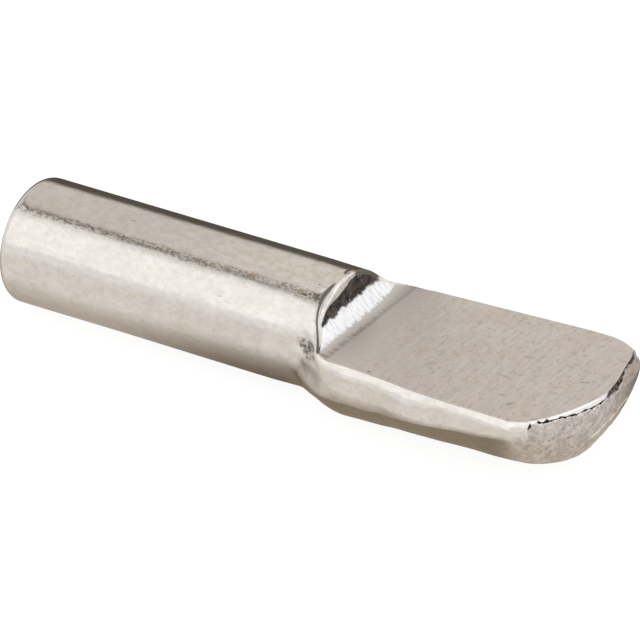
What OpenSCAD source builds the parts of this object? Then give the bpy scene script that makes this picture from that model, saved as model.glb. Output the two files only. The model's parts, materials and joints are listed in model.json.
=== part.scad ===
// Flat spoon shelf support pin, pressed from one length of round wire.
// The pin lies along X with its free end towards -X, and the blade that carries the shelf points
// towards +X with its shelf face up. The origin is on the pin's axis, where the neck starts to
// swell at the underside: this is the plane of the side panel once the pin is pushed home.

/* [Pin] */
// Diameter of the round pin that goes into the side panel
pin_d = 5; // [3:0.1:8]
// Length of the round pin, from its free end to the start of the neck
pin_len = 13; // [6:0.1:25]
// Rounding of the rim at the free end
pin_end_r = 0.4; // [0.1:0.05:1]

/* [Shelf face] */
// Reach of the shelf face, from the start of the neck to its tip
face_reach = 13.1; // [9:0.1:25]
// Height of the shelf face above the underside of the pin
face_h = 3.22; // [2:0.01:3.6]
// How far the shelf face stands out past each side of the pin, beside the shoulder
root_spread = 0.6; // [0.3:0.01:1.2]
// How far the shelf face stands out past each side of the pin, where the nose starts
tip_spread = 1.17; // [0.5:0.01:2.5]

/* [Neck and shoulder] */
// How much thinner the wire is drawn at the shoulder than at the pin, all round
neck_draw = 0.03; // [0.01:0.01:0.1]
// Distance from the start of the neck to the shoulder wall
shoulder_x = 1.55; // [0.8:0.05:3]
// Hollow corner between the shoulder wall and the shelf face
shoulder_fillet = 0.95; // [0.2:0.05:1.2]
// Rounding of the shoulder's outer rim
shoulder_rim_r = 0.22; // [0.05:0.01:0.4]
// Length over which the neck swells from the round pin to the blade
swell_len = 1.4; // [0.6:0.05:2.5]

/* [Blade] */
// How far each side bulges past the edge of the shelf face
side_bulge = 0.28; // [0.05:0.01:0.6]
// Depth under the shelf face at which the sides are widest
bulge_depth = 0.82; // [0.3:0.01:1.5]
// How far the blade hangs below the underside of the pin, beside the shoulder
root_hang = 0.12; // [0.08:0.01:0.4]
// How far the underside of the blade has risen where the nose starts
tip_rise = 0.28; // [0:0.01:1]
// Squareness of the underside beside the shoulder: 2 is an oval and more is squarer
root_square = 2.3; // [1.8:0.05:3]
// Squareness of the underside where the nose starts
tip_square = 1.85; // [1.7:0.05:3]

/* [Nose] */
// Length of the rounded tip, seen from above
nose_len = 1.77; // [0.8:0.01:3]
// Length over which the underside sweeps up to the tip
keel_len = 2.07; // [1:0.01:4]
// Fullness of the sweep: 2 is a slow rise and more is blunter
keel_full = 5; // [2:0.1:8]
// How far the end bulges past the tip of the shelf face
end_bulge = 0.25; // [0:0.01:0.6]

/* [Hidden] */

$fn = 96;
pin_r = pin_d / 2;
neck_r = pin_r - neck_draw;
face_z = face_h - pin_r;
// The neck's crease leans back from the shoulder's foot to the underside of the pin
crease_slope = shoulder_x / face_h;
straighten_len = 3;
swell_ease = 1.6;
nose_x = face_reach - nose_len;
keel_x = face_reach - keel_len;
end_bulge_x = face_reach - 2 * keel_len;
// Sections of the blade: points round each one, and sections along each stretch
ring_pts = 64;
neck_steps = 8;
blade_steps = 6;
nose_steps = 12;
nose_last = 80;
// The blade starts inside the pin and the pin ends inside the blade, so that the two overlap and
// their surfaces cross cleanly at the crease
root_inset = 0.4;
skin = 0.05;
pin_overlap = swell_len / 2;
eps = 0.01;
clear = 1;

function clamp01(v) = min(1, max(0, v));
function mix(a, b, f) = a + (b - a) * f;

// Share of the swelling done at x, quick at the crease and easing into the blade
function swell(x) = 1 - pow(1 - clamp01((x - shoulder_x) / swell_len), swell_ease);
// Share of the way along the blade
function along(x) = clamp01((x - shoulder_x) / (nose_x - shoulder_x));
// Share that is left of the blade's width and depth inside the nose
function nose_width(x) = let (f = clamp01((x - nose_x) / nose_len)) sqrt(1 - f * f);
function nose_depth(x) = let (f = clamp01((x - keel_x) / keel_len)) 1 - pow(f, keel_full);

// Sizes of the section at x, as [half of the greatest width, height of that widest level, rise above
// it, drop below it, squareness below it]. Before the neck it is the round wire.
function wire_section(r) = [r, 0, r, r, 2];
function blade_section(x) = let (
    f = along(x),
    w = nose_width(x),
    d = nose_depth(x),
    half = pin_r + mix(root_spread, tip_spread, f * (2 - f)),
    side = half + side_bulge,
    underside = mix(-pin_r - root_hang, -pin_r + tip_rise, f)
) [
    side * w,
    face_z - bulge_depth * d,
    bulge_depth * d / sqrt(1 - pow(half / side, 2)),
    (face_z - underside - bulge_depth) * d,
    mix(root_square, tip_square, f)
];
function section(x) = mix(wire_section(neck_r - skin), blade_section(x), swell(x));

// One point of a section, where turn is -90 at the underside, 0 at the side and 90 at the top:
// a squared oval below the widest level and a plain oval that meets the shelf face's edge above
function section_yz(s, turn) = let (power = 2 / s[4]) turn < 0
    ? [s[0] * pow(cos(turn), power), s[1] - s[3] * pow(-sin(turn), power)]
    : [s[0] * cos(turn), s[1] + s[2] * sin(turn)];

// Sections lean with the crease at the neck, and belly outwards at the end of the nose
function lean(x, z) = crease_slope * (1 - clamp01((x - shoulder_x) / straighten_len)) * max(0, face_z - z);
function belly(x, z) = let (
    reach = clamp01((x - end_bulge_x) / (face_reach - end_bulge_x)),
    depth = min(2, max(0, face_z - z) / bulge_depth)
) end_bulge * reach * reach * (1 - (1 - depth) * (1 - depth));

function ring(x, s) = [
    for (i = [0 : ring_pts - 1]) let (
        turn = i * 360 / ring_pts - 90,
        right = turn <= 90,
        yz = section_yz(s, right ? turn : 180 - turn),
        y = right ? yz[0] : -yz[0]
    ) [x - lean(x, yz[1]) + belly(x, yz[1]), y, yz[1]]
];

neck_x = [for (i = [1 : neck_steps]) shoulder_x + swell_len * pow(i / neck_steps, 1.5)];
blade_x = [for (i = [1 : blade_steps]) mix(shoulder_x + swell_len, keel_x, i / blade_steps)];
keel_x_steps = [for (i = [1 : 2]) mix(keel_x, nose_x, i / 2)];
nose_x_steps = [for (i = [1 : nose_steps]) nose_x + nose_len * sin(nose_last * i / nose_steps)];
blade_rings = concat(
    [ring(shoulder_x - root_inset, wire_section(neck_r / 2))],
    [for (x = concat([shoulder_x], neck_x, blade_x, keel_x_steps, nose_x_steps)) ring(x, section(x))]
);

// Skin over a row of rings with the same number of points, closed at both ends
module loft(rings) {
    n = len(rings[0]);
    last = len(rings) - 1;
    sides = [
        for (k = [0 : last - 1], i = [0 : n - 1]) let (j = (i + 1) % n)
            each [[k * n + i, (k + 1) * n + i, k * n + j], [k * n + j, (k + 1) * n + i, (k + 1) * n + j]]
    ];
    ends = [
        for (i = [1 : n - 2]) each [[0, i, i + 1], [last * n, last * n + i + 1, last * n + i]]
    ];
    polyhedron(points = [for (r = rings) each r], faces = concat(sides, ends), convexity = 4);
}

// Round pin with its rim rounded at the free end, and the drawn neck. The other end leans like the crease.
module wire() {
    far = face_reach;
    crease_x = shoulder_x + pin_overlap;
    difference() {
        rotate([0, 90, 0])
            rotate_extrude()
                union() {
                    translate([0, -pin_len])
                        square([pin_r - pin_end_r, pin_end_r * 2]);
                    translate([pin_r - pin_end_r, -pin_len + pin_end_r])
                        circle(pin_end_r);
                    polygon([
                        [0, -pin_len + pin_end_r],
                        [pin_r, -pin_len + pin_end_r],
                        [pin_r, 0],
                        [neck_r, shoulder_x],
                        [neck_r, crease_x],
                        [0, crease_x]
                    ]);
                }
        rotate([90, 0, 0])
            linear_extrude(height = pin_d * 2, center = true)
                polygon([
                    [pin_overlap - crease_slope * clear, -pin_r - clear],
                    [crease_x, face_z],
                    [far, face_z],
                    [far, -pin_r - clear]
                ]);
    }
}

// Blade blank: lofted through the neck, the blade and the nose
module blade_blank() {
    loft(blade_rings);
}

// What the punch takes out above the shelf face, with the hollow corner at the shoulder
module punch() {
    top = pin_r * 2;
    far = face_reach + clear;
    wide = (pin_r + tip_spread + side_bulge + clear) * 2;
    rotate([90, 0, 0])
        linear_extrude(height = wide, center = true)
            difference() {
                translate([shoulder_x, face_z])
                    square([far - shoulder_x, top]);
                difference() {
                    translate([shoulder_x - eps, face_z - eps])
                        square(shoulder_fillet + eps);
                    translate([shoulder_x + shoulder_fillet, face_z + shoulder_fillet])
                        circle(shoulder_fillet);
                }
            }
}

// Ring that rounds the shoulder's rim above the shelf face
module rim_cut() {
    intersection() {
        rotate([0, 90, 0])
            rotate_extrude()
                difference() {
                    translate([neck_r - shoulder_rim_r, shoulder_x - shoulder_rim_r])
                        square([shoulder_rim_r + clear, shoulder_rim_r + eps]);
                    translate([neck_r - shoulder_rim_r, shoulder_x - shoulder_rim_r])
                        circle(shoulder_rim_r);
                }
        translate([0, -pin_d, face_z])
            cube([shoulder_x + clear, pin_d * 2, pin_d]);
    }
}

module shelf_pin() {
    color([0.76, 0.73, 0.69])
        difference() {
            union() {
                wire();
                blade_blank();
            }
            punch();
            rim_cut();
        }
}

shelf_pin();
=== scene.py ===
import json
import math
import random

import bmesh
import bpy
from mathutils import Matrix, Vector, noise


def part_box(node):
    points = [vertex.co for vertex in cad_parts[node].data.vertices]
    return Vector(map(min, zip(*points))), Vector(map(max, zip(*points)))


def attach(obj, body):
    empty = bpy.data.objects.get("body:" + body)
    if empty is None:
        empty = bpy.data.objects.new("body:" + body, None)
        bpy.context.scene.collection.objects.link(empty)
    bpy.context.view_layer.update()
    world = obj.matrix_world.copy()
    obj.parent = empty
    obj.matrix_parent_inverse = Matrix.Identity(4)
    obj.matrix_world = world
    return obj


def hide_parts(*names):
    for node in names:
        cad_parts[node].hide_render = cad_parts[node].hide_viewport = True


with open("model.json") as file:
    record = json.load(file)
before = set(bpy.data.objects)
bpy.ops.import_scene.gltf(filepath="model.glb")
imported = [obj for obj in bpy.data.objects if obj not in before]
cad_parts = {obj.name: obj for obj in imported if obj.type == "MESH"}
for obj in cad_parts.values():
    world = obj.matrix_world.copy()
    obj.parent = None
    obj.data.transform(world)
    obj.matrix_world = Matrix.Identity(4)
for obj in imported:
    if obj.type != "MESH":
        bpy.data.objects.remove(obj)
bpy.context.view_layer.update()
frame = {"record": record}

# Sizes in this script are millimetres in the part's own frame. MM turns them into metres.
MM = 0.001

mounts = {m["name"]: m for m in frame["record"]["mounts"]}
box_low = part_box("shelf_pin")[0] / MM

NEAR, FAR = -1, 1

# Round pin
pin_r = mounts["pin"]["dims"]["r_mm"]
pin_end = box_low.x
pin_end_r = 0.4

# Free end, cut a little askew: how far its middle stands out past the solid's, how much less its top
# does, and which way its top is from its middle
end_out = 0.13
end_askew = 0.06
end_top_y, end_top_z = 0.6, 0.8

# Neck: how much thinner the wire is drawn, how far its underside swells again before the blade and
# over which length, and where the crease's lean and the neck's own rows start
neck_draw = 0.03
neck_r = pin_r - neck_draw
swell_h = 0.045
swell_x = -9
swell_len = 8
lean_start = -3.0
neck_start = -0.8

# Shoulder
shoulder_x = 1.55
fillet_r = 0.95

# Crease: how far it leans back for each step down, how much of that the far side keeps, and the place
# past which no painted shade or dirt is laid on its underside
crease_slope = 0.48
crease_far_share = 0.25
crease_end_x = 2.3

# Swelling from the neck to the blade, at the rim, on the sides and on the belly
flare_start = 1.23
side_start = 1.35
belly_start = 1.6
flare_len = 0.9
side_len = 2.1
belly_len = 1.8

# Rim of the shoulder: its bead, the groove behind it, and how fast it dies out, in degrees
bead_h = 0.035
bead_groove = 0.03
rim_fade = {NEAR: 6.8, FAR: 9.3}

# Shelf face
face_z = mounts["shelf_face"]["pos_m"][2] / MM
corner_x = 2.13
corner_z = 0.795
corner_half = {NEAR: 3.15, FAR: 3.03}
straight_x = 3.4
tip_x = 13.12
corner_tip_x = {NEAR: 11.71, FAR: 12.25}
taper_x = 10.9
taper_len = {NEAR: 1, FAR: 1.35}
taper_in = {NEAR: 0.46, FAR: 0.42}

# Blade section: the rounded strip under the edge, the side below it, and the belly
blade_len = 9.5
strip_out = 0.27
strip_down = {NEAR: 0.62, FAR: 0.36}
strip_slope = {NEAR: 1.15, FAR: 1.25}
strip_turn = 0.76
side_crown = 0.03
side_root_z = -1.1
side_tip_z = -0.05
belly_slope = math.radians(28)
belly_slope_more = math.radians(5.5)
belly_root_z = -2.6
belly_tip_z = -2.225
straighten_len = 3.0

# Nose
nose_x = 11.27
nose_back = {NEAR: 0.128, FAR: 0.031}
nose_len = 2.06
nose_full = 3.5
lip_out = 0.1
lip_down = 0.2
fold_deep = 0.09
end_centre_z = -0.45
torn_x = 9.8
torn_len = 1.9

# Painted shadow of a small notch just inside the end's outline: how far in it lies and its half width, as
# shares
notch_shadow_in = 0.018
notch_shadow_half = 0.027

# Points of each row of the mesh: across the top and round the underside
TOP_STEPS = 104
STRIP_STEPS = 9
SIDE_STEPS = 13
BELLY_STEPS = 44
LOW_STEPS = 2 * (STRIP_STEPS + SIDE_STEPS + BELLY_STEPS)
RING = TOP_STEPS + LOW_STEPS

# Rows of the mesh, from the middle of the free end to the middle of the sheared end
FREE_END_ROWS = 10
FREE_RIM_ROWS = 8
PIN_ROWS = 44
LEAN_ROWS = 14
NECK_ROWS = 56
RIM_ROWS = 12
WALL_ROWS = 76
FLAT_ROWS = 100
SHEARED_RIM_ROWS = 18
SHEARED_END_ROWS = 30

# Mark of a place that is nowhere near the feature which the mark measures
AWAY = 9
# Place of the rim for a row that is too far from it to swell
NO_RIM = 99

# Angle from the top of the wire to the line of the shelf face's edges
edge_angle = math.atan2(corner_half[NEAR], corner_z)


def clamp(v, low=0.0, high=1.0):
    return min(high, max(low, v))


def mix(a, b, f):
    return a + (b - a) * f


def smooth(f):
    f = clamp(f)
    return f * f * (3 - 2 * f)


def bump(f):
    """Smooth hump, 1 at f = 0 and gone at f = 1 either way."""
    return smooth(1 - abs(f))


def steps(n, first=0):
    return [i / n for i in range(first, n + 1)]


def side_of(v):
    return FAR if v >= 0 else NEAR


def grain(x, y, z=0.0):
    """Even noise between about -1 and 1, one swing to each unit."""
    return noise.noise(Vector((x, y, z)) + Vector((31.7, 12.3, 7.9))) * 1.6


def top_share(j):
    """Place across the top for point j, from -1 at the near edge to 1 at the far edge."""
    u = 2 * j / TOP_STEPS - 1
    return mix(u, math.sin(u * math.pi / 2), 0.5)


# Place round the underside: 0 at an edge of the shelf face, 1 at the keel
STRIP_END = 0.08
SIDE_END = 0.25


def low_shares():
    strip = [STRIP_END * i / STRIP_STEPS for i in range(STRIP_STEPS)]
    side = [mix(STRIP_END, SIDE_END, i / SIDE_STEPS) for i in range(SIDE_STEPS)]
    belly = [mix(SIDE_END, 1, i / BELLY_STEPS) for i in range(BELLY_STEPS)]
    return strip + side + belly


TOP_SHARES = [top_share(j) for j in range(TOP_STEPS + 1)]
LOW_SHARES = low_shares()


# ---------------------------------------------------------------- outline of the shelf face

def half_width(x, side):
    """Half width of the shelf face at x, on the near or the far side."""
    if side == NEAR:
        half = corner_half[NEAR] + 0.09 * smooth((x - 2.1) / 0.7) + 0.37 * smooth((x - 2.6) / 6)
    else:
        half = 3.14 + 0.525 * clamp((x - 2.2) / 7.9) - 0.13 * (1 - smooth((x - 2.0) / 0.45))
    return half - taper_in[side] * clamp((x - taper_x) / taper_len[side]) ** 2


def strip_size(x, side):
    """Size of the rounded strip under the edge, against its greatest."""
    if side == FAR:
        return mix(0.8, 1, smooth((x - shoulder_x) / 4.75))
    size = mix(0.55, 0.95, smooth((x - 2.3) / 1.3))
    return size + 0.25 * bump((x - 6.4) / 1.6) - 0.12 * smooth((x - 7) / 1.6)


def bulge_width(x, side):
    """Half width of the blade where its side stands out the furthest."""
    half = half_width(x, side) + strip_out * strip_size(x, side)
    return half if side == NEAR else half - 0.1 * smooth((x - 10.6) / 1.5)


def tip_edge(y):
    """The tip's edge, seen from above."""
    bend = 0.185 if y < 0 else mix(0.185, 0.115, clamp(y / 1.5))
    return tip_x - bend * abs(y) ** 1.6 - 0.09 * bump((y - 1.9) / 1.2)


def fillet_height(x):
    """Height of the hollow corner above the shelf face."""
    run = clamp(x - shoulder_x, 0, fillet_r)
    return fillet_r - math.sqrt(fillet_r ** 2 - (fillet_r - run) ** 2)


# Length of the way round the hollow corner, and down the wall to the straight line across the face
BEND_LEN = fillet_r * math.pi / 2
FACE_END = BEND_LEN + straight_x - shoulder_x - fillet_r


def profile(drop):
    """Point in the XZ plane after that length down the shoulder wall, round the hollow corner and along
    the shelf face, with the way that its surface looks. The drop is 0 where the hollow corner starts and
    negative above it."""
    if drop < 0:
        return Vector((shoulder_x, 0, face_z + fillet_r - drop)), Vector((1, 0, 0))
    if drop < BEND_LEN:
        turn = drop / fillet_r
        x = shoulder_x + fillet_r * (1 - math.cos(turn))
        z = face_z + fillet_r * (1 - math.sin(turn))
        return Vector((x, 0, z)), Vector((math.cos(turn), 0, math.sin(turn)))
    return Vector((shoulder_x + fillet_r + drop - BEND_LEN, 0, face_z)), Vector((0, 0, 1))


def drop_at_height(z):
    """The drop of the profile's point at that height."""
    height = z - face_z
    if height > fillet_r:
        return fillet_r - height
    return fillet_r * math.asin(clamp(1 - height / fillet_r))


# ---------------------------------------------------------------- outer skin

def rise(f, soft, quick):
    """Share of a swelling: nothing before 0, done at 1, with a soft start and a quicker or slower end."""
    f = (f + math.sqrt(f * f + soft * soft)) / 2
    return 1 - (1 - clamp(f)) ** quick


def wire_r(x, low=0):
    """Radius of the wire. Its underside swells a little towards the neck."""
    swell = swell_h * low * smooth((x - swell_x) / swell_len)
    return mix(pin_r, neck_r, clamp(x / shoulder_x)) + swell


def rim_excess(angle):
    """How far the rim stands out from the wire, near the corners of the shelf face."""
    side = side_of(angle)
    full = math.hypot(corner_half[side], corner_z) - neck_r
    return full * math.exp(-math.degrees(edge_angle - abs(angle)) / rim_fade[side])


def rim_point(angle):
    """Point of the sharp rim, before it is rounded, at that angle round the wire."""
    radius = neck_r + rim_excess(angle)
    y, z = radius * math.sin(angle), radius * math.cos(angle)
    place, _ = profile(drop_at_height(z))
    return Vector((place.x, y, z))


def dents():
    """Small knocks in the crease beside the near corner, and some on the rim: place along the pin, angle
    round it, half width and depth."""
    dice = random.Random(7)
    found = []
    for _ in range(15):
        along = dice.random()
        x = mix(0.85, 1.75, along)
        angle = math.radians(-mix(75, 79, along) - dice.uniform(-3, 7))
        found.append((x, angle, dice.uniform(0.06, 0.12), dice.uniform(0.008, 0.022)))
    on_rim = ((1.0, -33, 0.12, 0.008), (1.1, -30, 0.1, 0.012), (1.2, -27, 0.12, 0.012))
    on_rim += ((1.28, -23, 0.1, 0.012), (1.3, 3, 0.09, 0.02), (1.38, 6, 0.08, 0.02))
    found += [(x, math.radians(degrees), size, depth) for x, degrees, size, depth in on_rim]
    return found


DENTS = dents()


def dent_depth(x, angle):
    """Depth of the knocks at a place along the pin and round it."""
    deep = 0
    for dent_x, dent_angle, size, depth in DENTS:
        away = math.hypot(x - dent_x, (angle - dent_angle) * neck_r)
        deep += depth * bump(away / size)
    return deep


def painted_shade_and_dirt_share(place):
    """How dark a place on the neck is painted: painted shade in its dents, in the groove behind the rim,
    in the crease beside the near corner and along the far side of the rim, a painted dark reflection line
    smudged along the near side of its top, and dirt specks beside them."""
    angle = math.atan2(place.y, place.z)
    degrees = math.degrees(angle)
    # Painted shade in the dents
    share = clamp(dent_depth(place.x, angle) / 0.012)
    speckle = grain(place.x * 6, angle * 19, 41) + 0.8 * grain(place.x * 12, angle * 36, 43)
    along = smooth((place.x + 0.9) / 1.2) * smooth((1.25 - place.x) / 0.2)
    # Painted dark reflection line, smudged along the near side of the top
    smudge = along * bump((degrees + 34) / mix(6, 10, smooth((place.x - 0.5) / 0.5)))
    dense = 1.3 + 0.6 * smooth((place.x - 0.4) / 0.5)
    patchy = 0.62 + 0.38 * smooth(0.5 + 0.9 * grain(place.x * 3.2, angle * 26, 47))
    share = max(share, patchy * smooth(dense * smudge + 0.75 * speckle - 0.62))
    # Painted shade in the crease beside the near corner
    beside = math.hypot((place.x - 1.15) / 0.85, (degrees + 77.5 + 6.6 * (place.x - 1)) / 10.5)
    share = max(share, smooth(1.5 * (1 - beside)) * clamp(0.56 + 0.22 * speckle, 0, 0.85))
    if abs(angle) < edge_angle:
        before = rim_point(angle).x - place.x
        # Painted shade in the groove behind the rim
        share = max(share, groove(before, degrees))
        on_rim = bump((before - 0.15) / 0.35) * bump((degrees + 6) / 24)
        share = max(share, 0.45 * on_rim * smooth(speckle + 0.2))
        # Painted shade along the far side of the rim
        far_arc = smooth((degrees - 6) / 10) * smooth((60 - degrees) / 10)
        share = max(share, 0.95 * (far_arc * smooth((0.17 - before) / 0.08)))
        # Two dark spots of painted shade: near the rim on the far side, and at the near corner
        for at, size, turn, wide in ((0.3, 0.07, 9, 6), (-0.02, 0.1, -74.5, 2.2)):
            share = max(share, smooth(1.6 - math.hypot((before - at) / size, (degrees - turn) / wide)))
    return share


# Small stains on the shelf face: place, half length, half width, turn in degrees and strength
STAINS = (
    (12.0, 0.23, 0.24, 0.035, 30, 1.0),
    (12.28, 0.45, 0.12, 0.03, 20, 0.5),
    (10.39, -2.53, 0.2, 0.09, 60, 0.55),
    (9.13, 0.78, 0.25, 0.08, 10, 0.4),
    (4.46, -3.17, 0.05, 0.06, 0, 1.0),
    (9.75, -2.1, 0.18, 0.07, 10, 0.4),
    (11.3, -0.6, 0.3, 0.03, 25, 0.45),
    (8.9, -0.9, 0.3, 0.06, 5, 0.3),
    (10.95, -3.56, 0.1, 0.04, 0, 0.8),
    (11.8, -3.08, 0.12, 0.05, 40, 0.8),
    (2.3, -3.02, 0.28, 0.06, 10, 0.8),
)


def stain_share(place):
    """How strong a stain is at a place on the shelf face."""
    share = 0
    for x, y, along, across, turn, strength in STAINS:
        turn = math.radians(turn)
        off_x, off_y = place.x - x, place.y - y
        a = (off_x * math.cos(turn) + off_y * math.sin(turn)) / along
        b = (off_y * math.cos(turn) - off_x * math.sin(turn)) / across
        share = max(share, strength * smooth(1.4 - math.hypot(a, b)))
    return share


def skin_top(angle, x, rim_x):
    """Point on the outer skin above the edge line, x along the pin."""
    swell = smooth((x - rim_x) / flare_len + 1)
    before = rim_x - x
    degrees = math.degrees(angle)
    near_rim = smooth((degrees + 76) / 8) * smooth((-8 - degrees) / 25)
    burr = bead_h * bump((before - 0.1) / 0.2) - bead_groove * groove(before, degrees)
    coarse = bump((before - 0.15) / 0.35) * bump((degrees + 4) / 28)
    burr += 0.012 * coarse * (grain(x * 6, angle * 16, 45) + 0.5 * grain(x * 13, angle * 33, 46))
    radius = wire_r(x) + rim_excess(angle) * swell + burr * near_rim - dent_depth(x, angle)
    return Vector((x, radius * math.sin(angle), radius * math.cos(angle)))


def nose_start(y):
    """Where the underside starts to sweep up, that far from the middle."""
    back = nose_back[side_of(y)] * min(abs(y), 2.1 if y < 0 else 4) ** 2
    return nose_x - back - 0.115 * bump((y - 0.8) / 2.0)


def nose_depth(x, y):
    """Share of the underside's full depth that is left at x."""
    return 1 - clamp((x - nose_start(y)) / nose_len) ** nose_full


def nose_reach(share, y):
    """The x where the underside's depth has come down to that share."""
    return nose_start(y) + nose_len * (1 - clamp(share)) ** (1 / nose_full)


def blade_full(x, c, side):
    """Point of the blade's section below the edge line, before the nose sweeps it up. The strip is a
    curve of three points, and the belly is one whose middle point pulls harder than its ends."""
    half = half_width(x, side)
    edge_z = face_z + fillet_height(max(x, corner_x))
    along = clamp((x - shoulder_x) / blade_len)
    wave = 0.03 * grain(x * 0.9, side * 3)
    bulge = bulge_width(x, side)
    down, steep = strip_down[side], strip_slope[side]
    if side == NEAR:
        down *= strip_size(x, side) - 0.3 * smooth((x - 9.2) / 2)
        steep -= 0.15 * smooth((x - 9.5) / 1.5)
    strip_z = face_z - down + 0.6 * wave
    side_z = mix(side_root_z, side_tip_z, along) + wave
    keel_z = mix(belly_root_z, belly_tip_z, along)
    if c < STRIP_END:
        t = c / STRIP_END
        turn_y = strip_turn * (bulge - half)
        turn_z = edge_z - steep * turn_y
        y = half * (1 - t) ** 2 + 2 * t * (1 - t) * (half + turn_y) + bulge * t * t
        z = edge_z * (1 - t) ** 2 + 2 * t * (1 - t) * turn_z + strip_z * t * t
        return Vector((x, y, z))
    if c < SIDE_END:
        t = (c - STRIP_END) / (SIDE_END - STRIP_END)
        return Vector((x, bulge + side_crown * math.sin(t * math.pi), mix(strip_z, side_z, t)))
    t = (c - SIDE_END) / (1 - SIDE_END)
    slope = belly_slope + belly_slope_more * bump((x - 6.3) / 3.4)
    turn_y = max(0.2, bulge - (side_z - keel_z) * math.tan(slope))
    pull = 1.25 + 0.25 * smooth((x - 8.4) / 2)
    total = (1 - t) ** 2 + 2 * pull * t * (1 - t) + t * t
    y = ((1 - t) ** 2 * bulge + 2 * pull * t * (1 - t) * turn_y) / total
    z = ((1 - t) ** 2 * side_z + (2 * pull * t * (1 - t) + t * t) * keel_z) / total
    return Vector((x, y, z))


def skin_low(x, c, side):
    """Point on the outer skin below the edge line. x is its place at the height of the edge line."""
    angle = mix(edge_angle, math.pi, c)
    low = smooth((c - 0.2) / 0.3)
    radius = wire_r(x, low)
    wire = Vector((x, radius * math.sin(angle), radius * math.cos(angle)))
    sideways = smooth(c / (0.2 if side == NEAR else 0.4))
    start = mix(mix(flare_start, side_start, sideways), belly_start, low)
    f = (x - start) / mix(mix(flare_len, side_len, sideways), belly_len, low)
    blade = blade_full(x, c, side)
    blade.z = face_z - (face_z - blade.z) * nose_depth(x, side * blade.y)
    swollen = rise(f, mix(0.2, 0.05, low), mix(2.3, 1.6, low))
    point = wire.lerp(blade, mix(smooth(f), swollen, smooth(c / 0.12)))
    if x < shoulder_x:
        lean = crease_slope * smooth((x - lean_start) / (shoulder_x - lean_start))
    else:
        lean = crease_slope * (1 - clamp((x - shoulder_x) / straighten_len))
    if side == FAR:
        lean *= mix(crease_far_share, 1, smooth((c - 0.1) / 0.6))
    point.x -= lean * max(0, corner_z - point.z)
    point.y *= side
    deep = dent_depth(point.x, math.atan2(point.y, point.z))
    if deep:
        point -= Vector((0, point.y, point.z)).normalized() * deep
    return point


def low_ring(x_near, x_far):
    """Points round the underside, from the far edge under the keel to the near edge. The edges
    themselves are left out, because the top has them."""
    x_keel = (x_near + x_far) / 2
    points = [skin_low(mix(x_far, x_keel, c), c, FAR) for c in LOW_SHARES]
    points.append(skin_low(x_keel, 1, NEAR))
    points += [skin_low(mix(x_near, x_keel, c), c, NEAR) for c in reversed(LOW_SHARES)]
    return points[1:-1]


LOW_PLACES = (LOW_SHARES + [1] + list(reversed(LOW_SHARES)))[1:-1]


# ---------------------------------------------------------------- rows of the mesh

def pin_row(x, radius):
    """Row round the wire at x."""
    turns = [a * edge_angle for a in TOP_SHARES]
    turns += [mix(edge_angle, math.pi, c) for c in LOW_SHARES[1:] + [1]]
    turns += [-mix(edge_angle, math.pi, c) for c in reversed(LOW_SHARES[1:])]
    return [Vector((x, radius * math.sin(turn), radius * math.cos(turn))) for turn in turns]


def pin_end_rows():
    """Rows over the free end, which is cut askew and so reaches the furthest low on the near side."""
    rows = [pin_row(pin_end, (pin_r - pin_end_r) * f) for f in steps(FREE_END_ROWS)]
    for f in steps(FREE_RIM_ROWS, 1):
        turn = f * math.pi / 2
        x = pin_end + pin_end_r * (1 - math.cos(turn))
        rows.append(pin_row(x, pin_r - pin_end_r * (1 - math.sin(turn))))
    for row in rows:
        for p in row:
            p.x -= end_out - end_askew * (end_top_z * p.z + end_top_y * p.y) / pin_r
    return rows


def pin_rows():
    """Rows along the pin, up to where the neck starts."""
    start = pin_end + pin_end_r
    places = [mix(start, lean_start, f) for f in steps(PIN_ROWS, 1)]
    places += [mix(lean_start, neck_start, f) for f in steps(LEAN_ROWS, 1)]
    rows = []
    for x in places:
        top = [skin_top(a * edge_angle, x, NO_RIM) for a in TOP_SHARES]
        rows.append(top + low_ring(x, x))
    return rows


def rim_width(degrees):
    """Width of the rim's rounding on the neck, up to the groove that it left there."""
    places = (-76, -60, -45, -30, -15, 0, 15, 40, 76)
    widths = (0.05, 0.14, 0.3, 0.38, 0.24, 0.3, 0.2, 0.1, 0.05)
    for i in range(len(places) - 1):
        if degrees <= places[i + 1]:
            break
    return mix(widths[i], widths[i + 1], clamp((degrees - places[i]) / (places[i + 1] - places[i])))


def groove(before, degrees):
    """Depth share of the groove behind the rim."""
    wide = mix(0.12, 0.24, bump((degrees + 28) / 17))
    return bump((before - rim_width(degrees)) / wide) * smooth((-10 - degrees) / 8)


def round_out(degrees):
    """How far before the rim its rounding starts, on the neck."""
    return 0.75 * rim_width(degrees)


def round_in(degrees):
    """How far down the shoulder wall the rim's rounding ends."""
    return 0.05 + 0.12 * smooth((76 - abs(degrees)) / 20) + 0.27 * bump((degrees + 14) / 27)


def neck_top(a, t):
    """Point on the top of the neck, t of the way from the neck's start to the rim."""
    angle = a * edge_angle
    rim = rim_point(angle)
    return skin_top(angle, mix(neck_start, rim.x, t), rim.x)


def outer_stop(a):
    """Share of the way along the neck at which the rim's rounding starts."""
    rim = rim_point(a * edge_angle)
    return 1 - round_out(math.degrees(a * edge_angle)) / (rim.x - neck_start)


def neck_rows():
    """Rows along the neck, closer together towards the rim."""
    rows = []
    for f in steps(NECK_ROWS, 1):
        top = [neck_top(a, (1 - (1 - f) ** 1.3) * outer_stop(a)) for a in TOP_SHARES]
        rows.append(top + low_ring(top[0].x, top[-1].x))
    return rows


def torn_share(y, drop):
    """How far a place on the shoulder wall lies in the torn metal: 1 inside, 0 outside."""
    border = 0.36 + 0.12 * smooth((-1.2 - y) / 1.2)
    for height, fine, seed in ((0.07, 2.1, 3), (0.045, 7.3, 5), (0.03, 17, 8)):
        border += height * grain(y * fine, seed)
    return smooth((border - drop) / 0.07)


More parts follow.
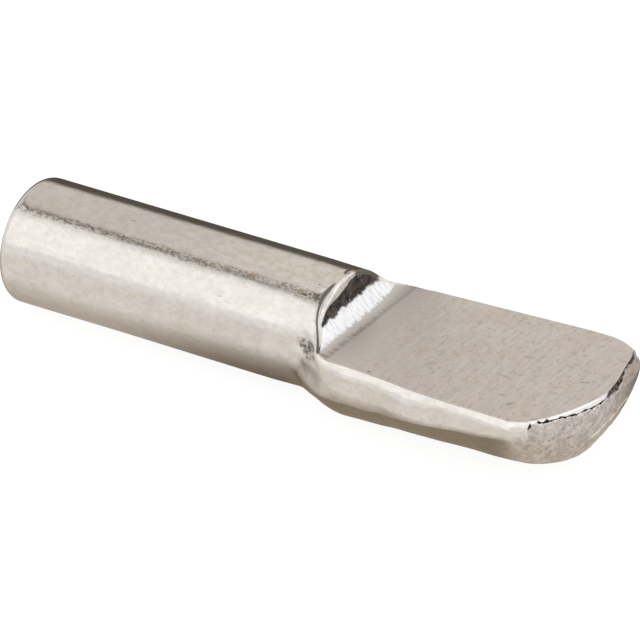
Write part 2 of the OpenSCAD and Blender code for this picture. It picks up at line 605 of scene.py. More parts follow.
def torn_depth(y, drop):
    """Depth of the torn metal, rough at two scales."""
    return 0.05 + 0.022 * grain(y * 4, drop * 4, 2) + 0.01 * grain(y * 11, drop * 11, 4)


def striped(y, drop):
    """Height of the stripes that the press left down the band under the torn metal."""
    lean = y + 0.12 * drop + 0.05 * grain(y * 1.5, 9)
    line = grain(lean * 4.4, drop * 0.4, 11) + 0.5 * grain(lean * 8.5, drop * 0.7, 13)
    return 0.007 * line * smooth((drop - 0.26) / 0.12) * smooth((1.12 - drop) / 0.3)


def face_point(a, t):
    """Point on the wall, hollow corner or shelf face, t of the way from the rim to the straight line
    across the shelf face, and its drop."""
    side = side_of(a)
    rim = rim_point(a * edge_angle)
    start = drop_at_height(rim.z)
    drop = mix(start, FACE_END, t)
    place, out = profile(drop)
    edge_drop = mix(drop_at_height(corner_z), FACE_END, t)
    half = half_width(profile(edge_drop)[0].x, side)
    place.y = mix(rim.y, a * half, smooth(t))
    inside = smooth((drop - start) / mix(0.2, 0.06, smooth(rim.y / 0.8))) * smooth((1 - abs(a)) / 0.04)
    tear = inside * torn_share(place.y, drop)
    place += out * (inside * striped(place.y, drop) - tear * torn_depth(place.y, drop))
    return place, drop, tear


def wall_start(a):
    """Share of the way from the rim to the straight line at which the rim's rounding ends."""
    rim = rim_point(a * edge_angle)
    return round_in(math.degrees(a * edge_angle)) / (FACE_END - drop_at_height(rim.z))


def rim_rows():
    """Rows over the rounded rim, from the neck to the shoulder wall."""
    rows = []
    for f in steps(RIM_ROWS, 1):
        top = []
        for a in TOP_SHARES:
            rim = rim_point(a * edge_angle)
            outer = neck_top(a, outer_stop(a))
            inner = face_point(a, wall_start(a))[0]
            top.append(outer * (1 - f) ** 2 + rim * (2 * f * (1 - f)) + inner * f * f)
        rows.append(top + low_ring(top[0].x, top[-1].x))
    return rows


def wall_rows():
    """Rows down the wall, round the hollow corner and on to the shelf face, with each point's drop and
    how torn it is."""
    rows, marks = [], []
    for f in steps(WALL_ROWS, 1):
        top = [face_point(a, mix(wall_start(a), 1, f)) for a in TOP_SHARES]
        marks.append([(drop, tear) for _, drop, tear in top])
        top = [place for place, _, _ in top]
        rows.append(top + low_ring(top[0].x, top[-1].x))
    return rows, marks


def flat_row(t):
    """Row across the shelf face, t of the way from the straight line to the tip's edge."""
    x_near, x_far = (mix(straight_x, corner_tip_x[side], t) for side in (NEAR, FAR))
    top = []
    for a in TOP_SHARES:
        y = a * (half_width(x_far, FAR) if a > 0 else half_width(x_near, NEAR))
        ends = mix(corner_tip_x[NEAR], corner_tip_x[FAR], (a + 1) / 2)
        arch = (tip_edge(y) - ends) * t * t * (1 - abs(a) ** 12)
        top.append(Vector((mix(x_near, x_far, (a + 1) / 2) + arch, y, face_z)))
    return top + low_ring(x_near, x_far)


def flat_rows():
    """Rows along the shelf face to its tip, closer together towards the tip."""
    return [flat_row(1 - (1 - f) ** 1.15) for f in steps(FLAT_ROWS, 1)]


# ---------------------------------------------------------------- sheared end

def crossings(line, value, along, across):
    """Where a line of points crosses a value of one coordinate: the other coordinate there."""
    found = []
    for p, q in zip(line, line[1:]):
        if min(p[along], q[along]) <= value <= max(p[along], q[along]) and p[along] != q[along]:
            found.append(mix(p[across], q[across], (value - p[along]) / (q[along] - p[along])))
    return found


def end_share(x):
    """How far the underside at x has turned into the rough metal of the end."""
    return smooth((x - torn_x) / torn_len)


def fold_line(y):
    """The fold under the lip, painted dark as shade: its distance under the shelf face and its half
    width.
    Past the middle it lies right under the edge."""
    beyond = smooth((y + 0.2) / 0.7)
    wide = mix(0.06, 0.036, smooth((y + 3) / 0.9)) if y < -0.2 else mix(0.036, 0.21, beyond)
    wide = mix(wide, 0.075, smooth((y - 1.0) / 1.1)) * smooth((3.15 - abs(y)) / 0.15)
    at = mix(0.29 - 0.15 * smooth((-1.5 - y) / 1.2), 0.8 * wide, beyond)
    teeth = abs(math.sin(4.6 * y + grain(y, 25)))
    at += mix(0.02 * (grain(y * 3.2, 21) + grain(y * 9, 22)) - 0.035 * teeth, 0, beyond)
    patchy = mix(1 + 0.8 * grain(y * 6, 23), 1 + 0.25 * grain(y * 5, 24), beyond)
    return at, max(0.001, wide * clamp(patchy, 0.35, 1.5))


def end_rows(last):
    """Rows that close the sheared end, from its outline in to its middle, with each point's marks: how
    torn it is, how far it is from the fold, the painted shadow of the notch and the ridge, and how much
    scar it has."""
    edge_half = {side: half_width(corner_tip_x[side], side) for side in (NEAR, FAR)}
    outline = {side: [p for p in last[TOP_STEPS:] + [last[0]] if p.y * side >= 0] for side in (NEAR, FAR)}
    widest = {side: max(outline[side], key=lambda p: abs(p.y)) for side in (NEAR, FAR)}
    under = {}
    for side in (NEAR, FAR):
        full = [blade_full(corner_tip_x[side], c, side) for c in LOW_SHARES + [1]]
        under[side] = [Vector((p.x, p.y * side, p.z)) for p in full]

    def end_point(y, z):
        """The x of the end at that place, and its marks. It is where the upright end and the underside's
        sweep meet, rounded over."""
        side = side_of(y)
        down = face_z - z
        half = edge_half[side]
        if down > 0:
            half = max([abs(v) for v in crossings(outline[side], max(z, widest[side].z), 2, 1)] + [half])
        reach = clamp(abs(y) / half)
        at = reach * edge_half[side]
        beyond = smooth((y + 0.1) / 0.6)
        far = smooth((y - 2.0) / 0.9)
        fold_at, fold_wide = fold_line(y)
        round_down = mix(min(lip_down, 0.8 * fold_at), lip_down, far)
        lip = (lip_out - 0.08 * beyond + 0.04 * far) * math.sqrt(1 - (1 - clamp(down / round_down)) ** 2)
        fullness = lip_out
        if side == FAR:
            fullness = tip_x + lip_out - 0.0132 * at ** 3 - tip_edge(at) - 0.07 * smooth((at - 2.2) / 0.8)
        belly = max(0, fullness - lip) * smooth((down - mix(0.12, 0, far)) / mix(0.5, 0.4, far))
        fold = (down - fold_at) / fold_wide
        deep = fold_deep * bump(fold / 1.3) * smooth((0.995 - reach) / 0.01)
        edge = corner_tip_x[side]
        wall = edge + (tip_edge(side * at) + lip + belly - deep - edge) * (1 - reach ** 12)
        lows = crossings(under[side], y, 1, 2)
        low_z = min(lows) if lows else z - 0.01
        sweep = nose_reach(down / max(0.05, face_z - low_z), y)
        gap = wall - sweep
        round_over = mix(0.34, 0.2, smooth((y + 2.5) / 2.5))
        meet = (wall + sweep - math.sqrt(gap * gap + round_over ** 2)) / 2
        torn = smooth((fold - 0.6) / 0.8) * end_share(meet)
        ridge_z = -1.0 + 0.08 * smooth((y + 0.6) / 1.1) + 0.3 * smooth((y - 0.7) / 1.2)
        ridge_z -= 0.03 * grain(y * 3, 35)
        ridge = mix((z - ridge_z) / 0.08, AWAY, smooth((y - 2.0) / 0.3))
        aside = abs(0.65 * (y - 2.05) - 0.755 * (z + 1.05) + 0.14) / 0.15
        scar = smooth(1.5 - max(aside, abs(z + 1.06) / 0.2))
        rough = 0.014 * grain(y * 4, z * 6, 31) + 0.01 * grain(y * 10, z * 13, 32)
        return meet + rough * torn * (1 - reach ** 6), torn, fold, ridge, scar

    rows, marks = [], []
    shares = [1 - 0.38 * i / SHEARED_RIM_ROWS for i in range(1, SHEARED_RIM_ROWS + 1)]
    shares += [0.62 * (1 - i / SHEARED_END_ROWS) ** 0.9 for i in range(1, SHEARED_END_ROWS + 1)]
    for share in shares:
        row, row_marks = [], []
        for j, p in enumerate(last):
            y, z = mix(0, p.y, share), mix(end_centre_z, p.z, share)
            x, torn, fold, ridge, scar = end_point(y, z)
            notch_shadow = AWAY
            if j > TOP_STEPS:
                low = LOW_PLACES[j - TOP_STEPS - 1]
                x = mix(x, p.x, smooth(low / STRIP_END) * (1 - smooth((1 - share) / 0.06)))
                # Painted shadow of a small notch on the near side, just inside the outline
                if p.y < 0:
                    notch_shadow = (1 - share - notch_shadow_in) / (notch_shadow_half * max(0.02, bump((low - 0.04) / 0.045)))
            row.append(Vector((x, y, z)))
            row_marks.append((torn, fold, notch_shadow, ridge, scar))
        rows.append(row)
        marks.append(row_marks)
    return rows, marks


def torn_under(place):
    """How torn a place under the nose is: early on the belly, and late on the sides."""
    early = 1.3 * smooth((-1.2 - place.z) / 0.9)
    belly = end_share(place.x + early) * smooth((face_z - place.z - 1.05) / 0.4)
    return max(belly, smooth((place.x - taper_x) / 0.75) * smooth((0.3 - place.z) / 0.3))


# Finishes of the mesh, in the order of its material slots. What isn't one of the others is the skin.
_, FACE, WALL, END = range(4)


def body_mesh():
    """The whole pin as one skin: a grid bent round it, with rows of points from the middle of the free
    end to the middle of the sheared end. Its attributes say where the finish changes. Drop runs down the
    shoulder wall, torn marks torn metal, the mark for painted shade and dirt holds painted shade in the
    neck's dents, groove and crease, a painted dark reflection line, dirt specks and stains, and scar
    marks a dark dash. Fold, the notch's painted shadow and ridge say how far a place is from the middle
    of each of them, in half widths."""
    rows = pin_end_rows() + pin_rows() + neck_rows() + rim_rows()
    wall_first = len(rows)
    wall, wall_marks = wall_rows()
    rows += wall
    flat_first = len(rows)
    rows += flat_rows()
    end_first = len(rows)
    end, end_marks = end_rows(rows[-1])
    rows += end
    bm = bmesh.new()
    bmesh.ops.create_grid(bm, x_segments=len(rows) - 1, y_segments=RING, size=1)
    names = ("drop", "torn", "painted_shade_and_dirt", "fold", "notch_shadow", "ridge", "scar")
    drop, torn, painted_shade_and_dirt, fold, notch_shadow, ridge, scar = [bm.verts.layers.float.new(name) for name in names]
    grid = {}
    for v in bm.verts:
        i = round((v.co.x + 1) / 2 * (len(rows) - 1))
        j = round((v.co.y + 1) / 2 * RING) % RING
        place = rows[i][j]
        v.co = place * MM
        grid[v] = (i, j)
        v[drop] = v[fold] = v[notch_shadow] = v[ridge] = AWAY
        if i < wall_first or (j > TOP_STEPS and place.x < crease_end_x):
            v[painted_shade_and_dirt] = painted_shade_and_dirt_share(place)
        elif i < flat_first and j <= TOP_STEPS:
            v[drop], v[torn] = wall_marks[i - wall_first][j]
            v[painted_shade_and_dirt] = stain_share(place)
        elif i >= end_first:
            v[torn], v[fold], v[notch_shadow], v[ridge], v[scar] = end_marks[i - end_first][j]
        elif j <= TOP_STEPS:
            v[painted_shade_and_dirt] = stain_share(place)
        else:
            v[torn] = torn_under(place)
    for face in bm.faces:
        face.smooth = True
        places = [grid[v] for v in face.verts]
        i, j = min(place[0] for place in places), max(place[1] for place in places)
        if i >= end_first - 1:
            face.material_index = END
        elif j <= TOP_STEPS and i >= flat_first - 1:
            face.material_index = FACE
        elif j <= TOP_STEPS and i >= wall_first - 1:
            face.material_index = WALL
    bmesh.ops.remove_doubles(bm, verts=bm.verts, dist=1e-7)
    bmesh.ops.recalc_face_normals(bm, faces=bm.faces)
    mesh = bpy.data.meshes.new("plated_pin")
    bm.to_mesh(mesh)
    bm.free()
    return mesh


# ---------------------------------------------------------------- materials

NICKEL = (0.76, 0.73, 0.69, 1)
CLOUDED_NICKEL = (0.71, 0.675, 0.625, 1)
# Lighter plate colour, for the painted highlight along the top of the pin
PAINTED_HIGHLIGHT_NICKEL = (0.89, 0.855, 0.805, 1)
SPECKLED_NICKEL = (0.6, 0.565, 0.515, 1)
STAIN = (0.26, 0.2, 0.14, 1)
# Colour of the painted shade and dirt on the neck
PAINTED_SHADE_AND_DIRT = (0.12, 0.1, 0.085, 1)


class Tree:
    """Node tree of a material or of the world, with short ways to add nodes to it."""

    def __init__(self, owner):
        owner.use_nodes = True
        self.nodes, self.links = owner.node_tree.nodes, owner.node_tree.links

    def put(self, socket, value):
        """Link a node's output to a socket, or set the socket to a plain value."""
        if isinstance(value, bpy.types.NodeSocket):
            self.links.new(value, socket)
        else:
            socket.default_value = value

    def add(self, kind, inputs, **settings):
        """New node with those settings, and with those values or links at its inputs."""
        node = self.nodes.new("ShaderNode" + kind)
        for name, value in settings.items():
            setattr(node, name, value)
        for socket, value in inputs.items():
            self.put(node.inputs[socket], value)
        return node

    def ramp(self, value, low, high, to_low=0.0, to_high=1.0, kind="SMOOTHSTEP"):
        """Step from to_low, where the value is low, to to_high, where it is high."""
        inputs = {"Value": value, "From Min": low, "From Max": high, "To Min": to_low, "To Max": to_high}
        return self.add("MapRange", inputs, interpolation_type=kind).outputs[0]

    def math(self, operation, a, b=0.0):
        return self.add("Math", {0: a, 1: b}, operation=operation).outputs[0]


class Finish(Tree):
    """One material on nickel plate. Its patterns are in millimetres of the part's own frame."""

    def __init__(self, name, roughness):
        self.material = bpy.data.materials.new(name)
        super().__init__(self.material)
        self.shader = self.nodes["Principled BSDF"]
        self.shade("Base Color", NICKEL)
        self.shade("Metallic", 1.0)
        self.shade("Roughness", roughness)
        self.place = self.add("TexCoord", {}).outputs["Object"]

    def shade(self, name, value):
        self.put(self.shader.inputs[name], value)

    def noise(self, across, detail=2.0, rough=0.5, offset=0.0):
        """Noise of 0 to 1, with that many swings to a millimetre along X, Y and Z."""
        moved = (offset, offset * 0.7, offset * 0.3)
        scale = [v / MM for v in across]
        mapping = self.add("Mapping", {"Location": moved, "Scale": scale, "Vector": self.place})
        inputs = {"Scale": 1.0, "Detail": detail, "Roughness": rough, "Vector": mapping.outputs[0]}
        return self.add("TexNoise", inputs).outputs["Fac"]

    def mark(self, name):
        """One of the mesh's attributes."""
        return self.add("Attribute", {}, attribute_name=name).outputs["Fac"]

    def axis(self, letter):
        """Place along one axis, in millimetres."""
        split = self.add("SeparateXYZ", {0: self.place})
        return self.math("MULTIPLY", split.outputs[letter], 1 / MM)

    def mix(self, kind, share, a, b):
        return self.add("Mix", {"Factor": share, "A": a, "B": b}, data_type=kind).outputs["Result"]

    def blend(self, share, a, b):
        """Colour that goes from a to b."""
        return self.mix("RGBA", share, a, b)

    def number(self, share, a, b):
        """Number that goes from a to b."""
        return self.mix("FLOAT", share, a, b)

    def bump(self, height, depth, under=None):
        """Relief of that depth in millimetres, on top of the relief under it."""
        inputs = {"Strength": 1.0, "Distance": depth * MM, "Height": height}
        if under is not None:
            inputs["Normal"] = under
        return self.add("Bump", inputs).outputs["Normal"]


def drawn_nickel():
    """Pin, neck and blade sides: bright drawn plate with long shallow waves, a painted highlight along
    the top of the pin, a painted dark reflection line, painted shade and a little dirt on the neck, and
    rough metal under the nose."""
    skin = Finish("drawn_nickel", 0.2)
    waves = skin.noise((0.55, 1.3, 1.3), detail=3, rough=0.55)
    grit = skin.noise((5, 7, 7), detail=2, offset=4)
    relief = skin.bump(waves, 0.012)
    skin.shade("Normal", skin.bump(grit, 0.0012, relief))
    cloud = skin.noise((0.6, 1, 1), detail=5, rough=0.6, offset=9)
    fine = skin.noise((3, 4, 4), detail=4, rough=0.7, offset=2)
    colour = skin.blend(skin.ramp(cloud, 0.35, 0.7), NICKEL, CLOUDED_NICKEL)
    angle = skin.math("ARCTAN2", skin.axis("Y"), skin.axis("Z"))
    # Painted highlight: the top of the pin is painted lighter, more so towards the neck
    above = skin.ramp(angle, -0.48, -0.4)
    painted_highlight = skin.math("MULTIPLY", above, skin.ramp(skin.axis("X"), -8, 0.5, 0.0, 0.8))
    colour = skin.blend(painted_highlight, colour, PAINTED_HIGHLIGHT_NICKEL)
    colour = skin.blend(skin.ramp(fine, 0.35, 0.7, 0.0, 0.65), colour, SPECKLED_NICKEL)
    # Painted reflection: a dark line, broken into brown specks, runs along the pin on the near side of
    # its top
    line = skin.math("ABSOLUTE", skin.math("ADD", angle, skin.ramp(cloud, 0.2, 0.8, 0.52, 0.59)))
    painted_reflection_line = skin.ramp(line, 0.02, 0.085, 0.75, 0.0)
    speckle = skin.noise((6, 11, 11), detail=3, rough=0.6, offset=31)
    painted_reflection_line = skin.math("MULTIPLY", painted_reflection_line, skin.ramp(speckle, 0.42, 0.6))
    painted_reflection_line = skin.math("MULTIPLY", painted_reflection_line, skin.ramp(skin.axis("X"), 0.6, 1.0, 1.0, 0.0))
    colour = skin.blend(painted_reflection_line, colour, (0.27, 0.21, 0.15, 1))
    # Painted shade in the neck's dents, groove and crease, a painted dark reflection line, and dirt
    # specks
    colour = skin.blend(skin.ramp(skin.mark("painted_shade_and_dirt"), 0.2, 0.9, 0.0, 0.9), colour, PAINTED_SHADE_AND_DIRT)
    rough_metal, _ = rough_end_colour(skin)
    torn = skin.mark("torn")
    skin.shade("Base Color", skin.blend(torn, colour, rough_metal))
    rough = skin.number(skin.mark("painted_shade_and_dirt"), skin.ramp(cloud, 0.3, 0.75, 0.13, 0.2), 0.5)
    skin.shade("Roughness", skin.number(torn, rough, 0.5))
    return skin.material


def brushed_face():
    """Shelf face: flat pressed plate with fine brush lines across it."""
    face = Finish("brushed_face", 0.4)
    lines = face.noise((8, 0.8, 1), detail=4, rough=0.7)
    broad = face.noise((2.2, 0.35, 1), detail=2, offset=3)
    relief = face.bump(broad, 0.004)
    face.shade("Normal", face.bump(lines, 0.0022, relief))
    colour = face.blend(face.ramp(lines, 0.3, 0.7), (0.74, 0.7, 0.66, 1), (0.63, 0.59, 0.545, 1))
    blotch = face.noise((1.2, 1.0, 1), detail=4, rough=0.6, offset=7)
    colour = face.blend(face.ramp(blotch, 0.4, 0.75, 0.0, 0.5), colour, (0.66, 0.6, 0.525, 1))
    speck = face.noise((6, 4, 1), detail=3, rough=0.6, offset=12)
    colour = face.blend(face.ramp(speck, 0.5, 0.72, 0.0, 0.6), colour, (0.46, 0.41, 0.35, 1))
    # Painted light: the face is lighter near the shoulder wall, against the wall's dark reflection there
    colour = face.blend(face.ramp(face.axis("X"), 2.6, 7.0, 0.45, 0.0), colour, (0.78, 0.735, 0.69, 1))
    face.shade("Base Color", face.blend(face.mark("painted_shade_and_dirt"), colour, STAIN))
    face.shade("Roughness", face.ramp(face.axis("X"), 2.4, 6.5, 0.45, 0.36))
    return face.material


def pressed_wall():
    """Shoulder wall: torn metal above, painted near black as a painted dark reflection, then the striped
    band, painted near white as a painted highlight, then the grey foot.
    """
    wall = Finish("pressed_wall", 0.4)
    drop, torn = wall.mark("drop"), wall.mark("torn")
    blotch = wall.noise((3, 3, 3), detail=3, offset=5)
    # Painted dark reflection: the torn metal is painted near black, with lighter flecks
    dark = wall.blend(wall.ramp(blotch, 0.4, 0.65), (0.035, 0.04, 0.042, 1), (0.13, 0.095, 0.08, 1))
    fleck = wall.noise((7, 7, 7), detail=2, offset=15)
    dark = wall.blend(wall.ramp(fleck, 0.63, 0.75), dark, (0.42, 0.38, 0.34, 1))
    stripe = wall.noise((1.5, 9, 1.5), detail=3, offset=8)
    # Painted highlight: the striped band is painted near white, lighter than the plate
    painted_highlight = wall.blend(wall.ramp(stripe, 0.38, 0.52), (0.78, 0.78, 0.80, 1), (0.95, 0.945, 0.95, 1))
    ragged = wall.noise((3, 7, 3), detail=3, offset=19)
    beyond = wall.ramp(wall.axis("Y"), 0.8, 2.8)
    foot = wall.math("ADD", drop, wall.ramp(ragged, 0.3, 0.7, -0.07, 0.07))
    early = wall.math("ADD", foot, wall.math("MULTIPLY", beyond, 0.16))
    grey = wall.blend(beyond, (0.62, 0.6, 0.57, 1), (0.54, 0.51, 0.475, 1))
    colour = wall.blend(wall.ramp(early, 0.98, 1.08), painted_highlight, grey)
    edge = wall.math("ABSOLUTE", wall.math("SUBTRACT", foot, 1.48))
    line = wall.math("MULTIPLY", wall.ramp(edge, 0.0, 0.22, 0.75, 0.0), wall.ramp(ragged, 0.36, 0.6))
    line = wall.math("MULTIPLY", line, wall.ramp(wall.axis("Y"), 0.5, 2.5, 1.0, 0.0))
    colour = wall.blend(line, colour, (0.4, 0.34, 0.28, 1))
    colour = wall.blend(wall.ramp(drop, 1.5, 1.62), colour, (0.7, 0.66, 0.615, 1))
    colour = wall.blend(wall.mark("painted_shade_and_dirt"), colour, STAIN)
    wall.shade("Base Color", wall.blend(torn, colour, dark))
    rough = wall.number(wall.ramp(drop, 1.0, 1.5), 0.42, 0.45)
    wall.shade("Roughness", wall.number(torn, rough, 0.55))
    wall.shade("Normal", wall.bump(wall.noise((8, 8, 8), detail=3), 0.006))
    return wall.material


def rough_end_colour(metal):
    """Mottled colour of the sheared metal, and its pattern."""
    mottle = metal.noise((3.5, 3.5, 3.5), detail=5, rough=0.65)
    pits = metal.noise((7, 7, 7), detail=2, offset=6)
    colour = metal.blend(metal.ramp(mottle, 0.36, 0.62), (0.5, 0.46, 0.42, 1), (0.7, 0.665, 0.63, 1))
    return metal.blend(metal.ramp(pits, 0.62, 0.72), colour, (0.25, 0.2, 0.17, 1)), mottle


def sheared_end():
    """End that the shears cut: bright rolled lip, a fold under it painted dark as shade, and rough
    mottled metal with a painted highlight along a ridge, a dark scar, brown streaks, the painted shadow
    of a small notch, and painted shade that grows towards the far side."""
    end = Finish("sheared_end", 0.2)
    torn = end.mark("torn")
    rough_metal, mottle = rough_end_colour(end)
    jag = end.noise((6, 6, 6), detail=3, rough=0.6, offset=17)
    # Painted shade in the fold under the lip, with ragged edges
    away = end.math("ABSOLUTE", end.mark("fold"))
    teeth = end.ramp(jag, 0.3, 0.7, -0.4, 0.5)
    ragged = end.math("MULTIPLY", teeth, end.ramp(end.axis("Y"), 0.0, 0.8, 1.0, 0.45))
    dark = end.ramp(end.math("ADD", away, ragged), 0.75, 1.15, 1.0, 0.0)
    colour = end.blend(torn, (0.92, 0.9, 0.86, 1), rough_metal)
    ridge = end.mark("ridge")
    broken = end.noise((2, 3, 3), detail=3, offset=23)
    # Painted shade: the end grows darker towards the far side
    colour = end.blend(end.ramp(end.axis("Y"), 0.1, 2.2, 0.0, 0.75), colour, (0.38, 0.32, 0.28, 1))
    # Painted highlight along the ridge, broken in places and left off the near side
    painted_ridge_highlight = end.ramp(end.math("ABSOLUTE", ridge), 0.5, 1.4, 0.95, 0.0)
    painted_ridge_highlight = end.math("MULTIPLY", painted_ridge_highlight, end.ramp(end.axis("Y"), -0.9, -0.3))
    painted_ridge_highlight = end.math("MULTIPLY", painted_ridge_highlight, end.ramp(broken, 0.44, 0.56, 0.1, 1.0))
    colour = end.blend(painted_ridge_highlight, colour, (0.98, 0.96, 0.92, 1))
    colour = end.blend(end.mark("scar"), colour, (0.1, 0.08, 0.065, 1))
    streak = end.ramp(end.noise((1.5, 1.5, 7), detail=3, offset=27), 0.48, 0.6)
    streak = end.math("MULTIPLY", streak, end.ramp(end.axis("Y"), 0.9, 1.9, 0.0, 0.85))
    colour = end.blend(streak, colour, (0.34, 0.26, 0.19, 1))
    # Painted shadow of a small notch, joined to the fold's painted shade
    notch_shadow = end.ramp(end.math("ABSOLUTE", end.mark("notch_shadow")), 0.7, 1.1, 1.0, 0.0)
    dark = end.math("MAXIMUM", dark, notch_shadow)
    # Colour of the painted shade in the fold and the notch: near black, browner below the fold
    painted_fold_shade = end.blend(end.ramp(mottle, 0.5, 0.62), (0.03, 0.026, 0.023, 1), (0.17, 0.13, 0.1, 1))
    below = end.ramp(end.math("ADD", end.mark("fold"), end.ramp(jag, 0.3, 0.7, -0.9, 0.9)), 0.2, 0.8)
    below = end.math("MULTIPLY", below, end.ramp(end.axis("Y"), 0.1, 0.6, 0.0, 0.8))
    painted_fold_shade = end.blend(below, painted_fold_shade, (0.22, 0.175, 0.13, 1))
    end.shade("Base Color", end.blend(dark, colour, painted_fold_shade))
    end.shade("Roughness", end.number(dark, end.number(torn, 0.18, 0.5), 0.6))
    end.shade("Normal", end.bump(end.math("MULTIPLY", mottle, torn), 0.015))
    return end.material


# ---------------------------------------------------------------- stage

def in_scene(name, data):
    """New object in the scene."""
    made = bpy.data.objects.new(name, data)
    bpy.context.scene.collection.objects.link(made)
    return made


def plane(name, centre, across, up):
    """Flat rectangle round a centre, in millimetres: across and up reach from its centre to two edges."""
    bm = bmesh.new()
    bmesh.ops.create_grid(bm, x_segments=1, y_segments=1, size=1)
    across, up = Vector(across) * MM, Vector(up) * MM
    for v in bm.verts:
        v.co = Vector(centre) * MM + across * v.co.x + up * v.co.y
    mesh = bpy.data.meshes.new(name)
    bm.to_mesh(mesh)
    bm.free()
    made = in_scene(name, mesh)
    return made


def card_mask(tree, soft):
    """1 inside a card and 0 at its edges, with a fade over the soft share of its half size each way."""
    split = tree.add("SeparateXYZ", {0: tree.add("UVMap", {}).outputs["UV"]})
    fades = []
    for axis, share in zip("XY", soft):
        inwards = tree.math("PINGPONG", split.outputs[axis], 0.5)
        fades.append(tree.ramp(inwards, 0.0, share * 0.5))
    return tree.math("MULTIPLY", *fades)


def flag(name, centre, across, up, colour, soft):
    """Card that only the metal's reflections see. It fades out over the soft share of its half size."""
    card = plane(name, centre, across, up)
    card.visible_camera = False
    card.visible_diffuse = False
    card.visible_transmission = False
    card.visible_volume_scatter = False
    card.visible_shadow = False
    uv = card.data.uv_layers.new(name="UVMap")
    corners = {0: (0, 0), 1: (1, 0), 2: (0, 1), 3: (1, 1)}
    for loop in card.data.loops:
        uv.data[loop.index].uv = corners[loop.vertex_index]
    material = bpy.data.materials.new(name)
    tree = Tree(material)
    tree.nodes.clear()
    glow = tree.add("Emission", {"Color": (*colour, 1)})
    clear = tree.add("BsdfTransparent", {})
    blend = tree.add("MixShader", {0: card_mask(tree, soft), 1: clear.outputs[0], 2: glow.outputs[0]})
    tree.add("OutputMaterial", {"Surface": blend.outputs[0]})
    card.data.materials.append(material)


def flags():
    """Cards over the part and beside it, and cards just above the floor that the metal's sides see: a
    pale one in front, and darker ones under and behind the part that are painted shadow of the part on
    the floor.
    """
    dark = (0.10, 0.085, 0.07)
    grey = (0.743, 0.697, 0.650)
    black = (0.05, 0.04, 0.03)
    cream = (0.9, 0.857, 0.81)
    buff = (0.72, 0.65, 0.565)
    drab = (0.47, 0.42, 0.36)
    brown = (0.29, 0.24, 0.175)
    deep_brown = (0.15, 0.115, 0.075)
    flag("ceiling", (-110, 140, 100), (120, 0, 0), (0, 140, 0), grey, (0.1, 0.05))
    flag("ceiling_edge", (-55.2, -14.45, 99.5), (40, -60, 0), (8.3, 5.6, 0), grey, (0.1, 0.15))
    flag("gap", (-63.5, -20, 99), (40, -60, 0), (4.2, 2.8, 0), black, (0.1, 0.8))
    flag("back_strip", (-17.0, 8, 1.7), (18.5, 0, 0), (0, 0, 4.4), dark, (0.15, 0.5))
    floor_z = box_low.z + 0.03
    # Dark cards on the floor under and behind the part: painted shadow of the part on the floor, seen
    # only in the metal
    flag("painted_shadow_behind_end", (-18, 5, floor_z), (7, 0, 0), (0, 4, 0), dark, (0.5, 0.5))
    flag("before_pin", (-2, -22, floor_z - 0.02), (34, 0, 0), (0, 22, 0), cream, (0.3, 0.12))
    flag("painted_shadow_under_pin", (-6, 0, floor_z), (19, 0, 0), (0, 4.8, 0), drab, (0.3, 0.83))
    flag("painted_shadow_under_neck", (-1.5, 0, floor_z + 0.005), (9, 0, 0), (0, 6.4, 0), deep_brown, (1.0, 0.98))
    flag("painted_shadow_under_blade", (5.2, 0, floor_z + 0.01), (6.2, 0, 0), (0, 7, 0), brown, (0.35, 0.45))
    flag("painted_shadow_under_tip", (10.5, 0, floor_z + 0.005), (5.5, 0, 0), (0, 7, 0), buff, (0.5, 0.45))
    flag("painted_shadow_behind_tip", (12, 9.5, floor_z + 0.02), (7, 0, 0), (0, 6, 0), dark, (0.5, 0.5))


def lamp(name, centre, size, radiance):
    """Soft rectangular lamp that faces the part."""
    data = bpy.data.lights.new(name, "AREA")
    data.shape = "RECTANGLE"
    data.size, data.size_y = size[0] * MM, size[1] * MM
    data.energy = radiance * math.pi * data.size * data.size_y
    made = in_scene(name, data)
    made.location = Vector(centre) * MM
    made.rotation_mode = "QUATERNION"
    made.rotation_quaternion = Vector(centre).to_track_quat("Z", "Y")


def seen_rays(tree):
    """Two masks: the camera's rays, and those together with the metal's reflections."""
    rays = tree.add("LightPath", {})
    by_camera = rays.outputs["Is Camera Ray"]
    return by_camera, tree.math("MAXIMUM", by_camera, rays.outputs["Is Glossy Ray"])


def pale_world():
    """White world, a little darker as a light than as it is seen."""
    bpy.context.scene.view_settings.view_transform = "Standard"
    world = bpy.data.worlds.new("studio")
    bpy.context.scene.world = world
    tree = Tree(world)
    background = tree.nodes["Background"]
    tree.put(background.inputs["Color"], (1, 1, 1, 1))
    _, seen = seen_rays(tree)
    tree.put(background.inputs["Strength"], tree.ramp(seen, 0.0, 1.0, 0.7, 1.0, "LINEAR"))


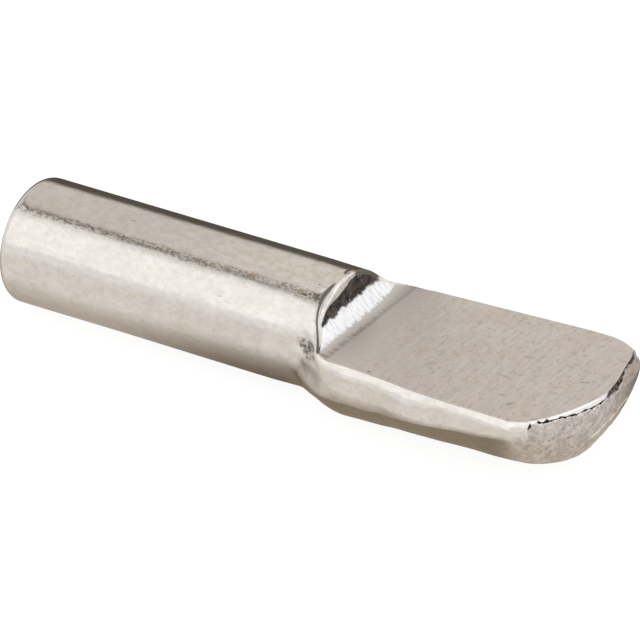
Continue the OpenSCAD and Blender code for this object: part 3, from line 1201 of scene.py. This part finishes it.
def pale_floor():
    """Floor just under the part, which mostly glows where it is seen and keeps a soft shadow."""
    floor = plane("floor", (0, 0, box_low.z - 0.01), (600, 0, 0), (0, 600, 0))
    material = bpy.data.materials.new("pale_floor")
    tree = Tree(material)
    shader = tree.nodes["Principled BSDF"]
    tree.put(shader.inputs["Base Color"], (0.9, 0.9, 0.9, 1))
    tree.put(shader.inputs["Roughness"], 0.9)
    by_camera, seen = seen_rays(tree)
    glow = tree.add("Emission", {"Strength": tree.ramp(by_camera, 0.0, 1.0, 0.95, 1.14, "LINEAR")})
    share = tree.math("MULTIPLY", seen, 0.8)
    blend = tree.add("MixShader", {0: share, 1: shader.outputs[0], 2: glow.outputs[0]})
    tree.put(tree.nodes["Material Output"].inputs["Surface"], blend.outputs[0])
    floor.data.materials.append(material)


def camera():
    """Camera far off, so that nothing tapers away from it. Its view is centred left of and above a place
    on the pin's axis."""
    azimuth, elevation, roll = (math.radians(v) for v in (34.4445, 30.0073, -2.3221))
    view_width = 24.386
    distance = 600
    on_axis, left, above = Vector((2.0, 0, 0)), 1.5675, 0.5933
    level = math.cos(elevation)
    toward = Vector((math.sin(azimuth) * level, -math.cos(azimuth) * level, math.sin(elevation)))
    right = Vector((math.cos(azimuth), math.sin(azimuth), 0))
    up = toward.cross(right)
    turn = Matrix.Rotation(roll, 3, toward)
    right, up = turn @ right, turn @ up
    centre = on_axis - left * right + above * up
    data = bpy.data.cameras.new("camera")
    data.sensor_width = 36
    data.lens = data.sensor_width * distance / view_width
    data.clip_start = 0.01
    data.clip_end = 3
    cam = in_scene("camera", data)
    rotation = Matrix((right, up, toward)).transposed().to_4x4()
    cam.matrix_world = Matrix.Translation((centre + toward * distance) * MM) @ rotation
    bpy.context.scene.camera = cam


camera()
pale_world()
pale_floor()
flags()
lamp("front_box", (-110, -160, 120), (240, 180), 0.24)
lamp("right_box", (180, 50, 62), (130, 110), 0.35)
lamp("bead_box", (110, -100, 140), (120, 120), 0.25)
lamp("corner_box", (5, -140, 160), (130, 130), 0.27)
body = in_scene("plated_pin", body_mesh())
for finish in (drawn_nickel(), brushed_face(), pressed_wall(), sheared_end()):
    body.data.materials.append(finish)
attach(body, "root")
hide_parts("shelf_pin")
